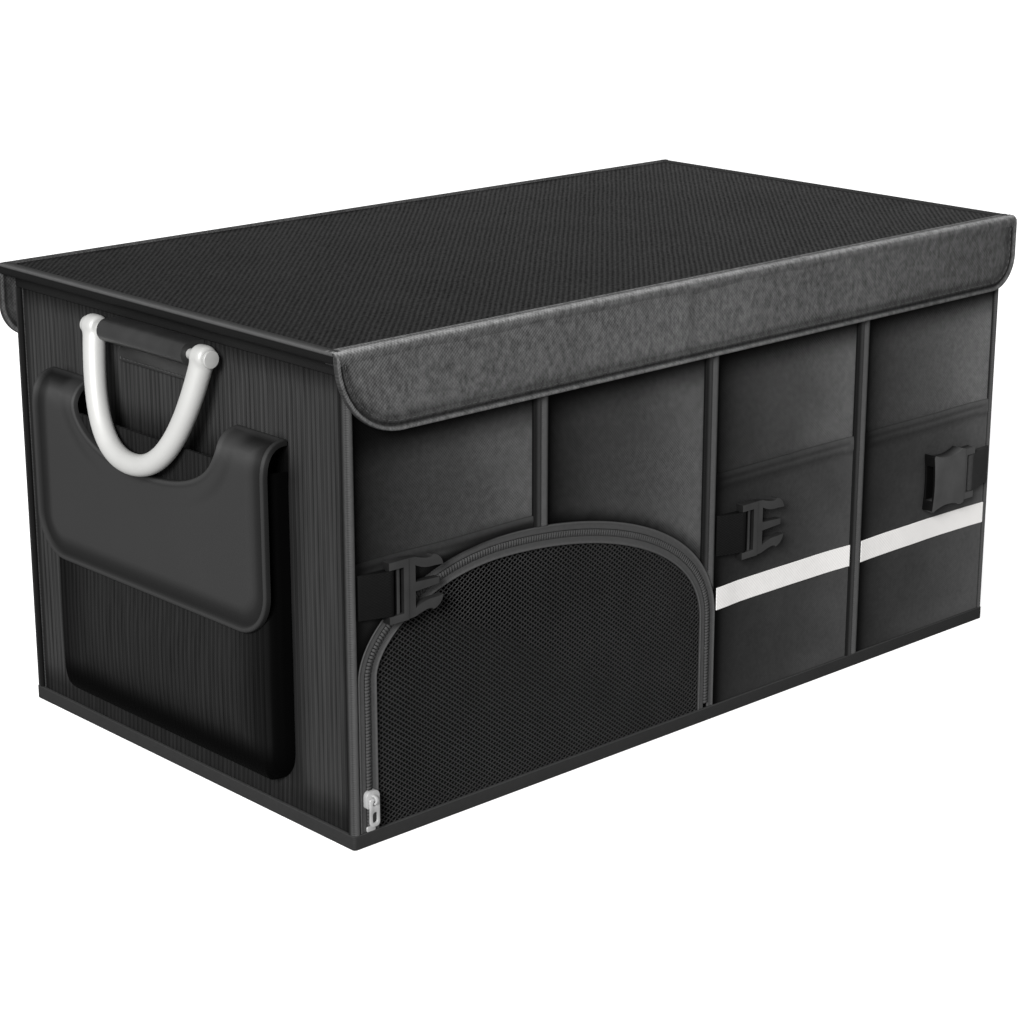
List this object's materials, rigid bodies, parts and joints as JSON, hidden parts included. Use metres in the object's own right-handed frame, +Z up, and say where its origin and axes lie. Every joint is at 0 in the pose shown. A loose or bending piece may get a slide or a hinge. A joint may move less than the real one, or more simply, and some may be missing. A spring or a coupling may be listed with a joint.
{
  "type": "boot organizer",
  "caption": "Folding fabric boot organizer box with a hinged lid, zipped mesh door, slip pockets, end pockets and bail handles.",
  "frame": {"origin": "centre of the box's footprint, on the surface that it stands on", "axes": "+X along the box to the right end seen from the front, -Y to the front with the mesh door, +Z up"},
  "size_m": [0.6052, 0.3227, 0.275],
  "materials": {
    "panel_cloth": "600D oxford weave, matt",
    "lid_cloth": "coarse oxford weave, matt",
    "flap_cloth": "fine oxford weave, matt",
    "pocket_cloth": "ribbed polyester, matt",
    "binding_tape": "folded polyester binding, slight sheen",
    "mesh_net": "knitted polyester net",
    "board_cloth": "plain lining cloth over board",
    "zip_tape": "woven zip tape",
    "reflective_tape": "retroreflective tape with a fine lattice",
    "black_plastic": "moulded acetal",
    "zip_metal": "die-cast, nickel plated",
    "handle_alloy": "satin anodised",
    "sleeve_skin": "coated cloth, semi-gloss"
  },
  "bodies": {
    "box": {"front_panel_1": "panel_cloth", "front_panel_2": "panel_cloth", "front_panel_3": "panel_cloth", "front_panel_4": "panel_cloth", "rear_panel_left": "panel_cloth", "rear_panel_right": "panel_cloth", "left_end_wall": "panel_cloth", "right_end_wall": "panel_cloth", "divider": "panel_cloth", "floor_cloth": "board_cloth", "base_board_left": "board_cloth", "base_board_right": "board_cloth", "lid_rear_flap": "flap_cloth", "left_pocket_flap": "flap_cloth", "right_pocket_flap": "flap_cloth", "front_pocket_1": "pocket_cloth", "front_pocket_3": "pocket_cloth", "front_pocket_4": "pocket_cloth", "left_end_pocket": "pocket_cloth", "right_end_pocket": "pocket_cloth", "bottom_binding": "binding_tape", "top_rim_binding": "binding_tape", "corner_binding_front_left": "binding_tape", "corner_binding_front_right": "binding_tape", "corner_binding_rear_left": "binding_tape", "corner_binding_rear_right": "binding_tape", "front_seam_binding_1": "binding_tape", "front_seam_binding_2": "binding_tape", "front_seam_binding_3": "binding_tape", "rear_seam_binding": "binding_tape", "lid_rear_flap_binding": "binding_tape", "left_pocket_flap_binding": "binding_tape", "right_pocket_flap_binding": "binding_tape", "webbing_tab_1": "binding_tape", "webbing_tab_2": "binding_tape", "webbing_tab_3": "binding_tape", "mesh_window": "mesh_net", "zip_tape_outer": "zip_tape", "zip_tape_inner": "zip_tape", "zip_teeth": "zip_tape", "reflective_strip_3": "reflective_tape", "reflective_strip_4": "reflective_tape", "zip_bottom_stop": "zip_metal", "left_handle_rod": "zip_metal", "right_handle_rod": "zip_metal", "left_handle_sleeve": "sleeve_skin", "right_handle_sleeve": "sleeve_skin"},
    "lid": {"lid_board": "lid_cloth", "lid_edge_binding": "binding_tape"},
    "lid_flap": {"lid_front_flap": "flap_cloth", "lid_front_flap_binding": "binding_tape"},
    "left_bail": {"left_handle_bail": "handle_alloy"},
    "right_bail": {"right_handle_bail": "handle_alloy"},
    "zip_runner": {"zip_slider": "zip_metal"},
    "zip_tab": {"zip_pull": "zip_metal"},
    "buckle_left": {"buckle_male_1": "black_plastic"},
    "buckle_middle": {"buckle_male_2": "black_plastic"},
    "buckle_right": {"buckle_female": "black_plastic"}
  },
  "joints": [
    {"name": "lid_hinge", "type": "hinge", "parent": "box", "child": "lid", "pos_m": [0, 0.1585, 0.275], "axis": [-1, 0, 0], "range_deg": [0, 180]},
    {"name": "lid_flap_hinge", "type": "hinge", "parent": "lid", "child": "lid_flap", "pos_m": [0, -0.1585, 0.275], "axis": [-1, 0, 0], "range_deg": [0, 180]},
    {"name": "left_bail_hinge", "type": "hinge", "parent": "box", "child": "left_bail", "pos_m": [-0.282, 0.0078, 0.253], "axis": [0, 1, 0], "range_deg": [0, 125]},
    {"name": "right_bail_hinge", "type": "hinge", "parent": "box", "child": "right_bail", "pos_m": [0.282, -0.0078, 0.253], "axis": [0, -1, 0], "range_deg": [0, 125]},
    {"name": "zip_slide", "type": "slide", "parent": "box", "child": "zip_runner", "axis": [0, 0, 1], "range_m": [0, 0.06]},
    {"name": "zip_tab_hinge", "type": "hinge", "parent": "zip_runner", "child": "zip_tab", "pos_m": [-0.263, -0.1579, 0.0275], "axis": [-1, 0, 0], "range_deg": [0, 170]},
    {"name": "buckle_left_hinge", "type": "hinge", "parent": "box", "child": "buckle_left", "pos_m": [-0.252, -0.159, 0.142], "axis": [0, 0, -1], "range_deg": [0, 120]},
    {"name": "buckle_middle_hinge", "type": "hinge", "parent": "box", "child": "buckle_middle", "pos_m": [0.023, -0.159, 0.1165], "axis": [0, 0, -1], "range_deg": [0, 120]},
    {"name": "buckle_right_hinge", "type": "hinge", "parent": "box", "child": "buckle_right", "pos_m": [0.246, -0.159, 0.11], "axis": [0, 0, 1], "range_deg": [0, 120]}
  ]
}
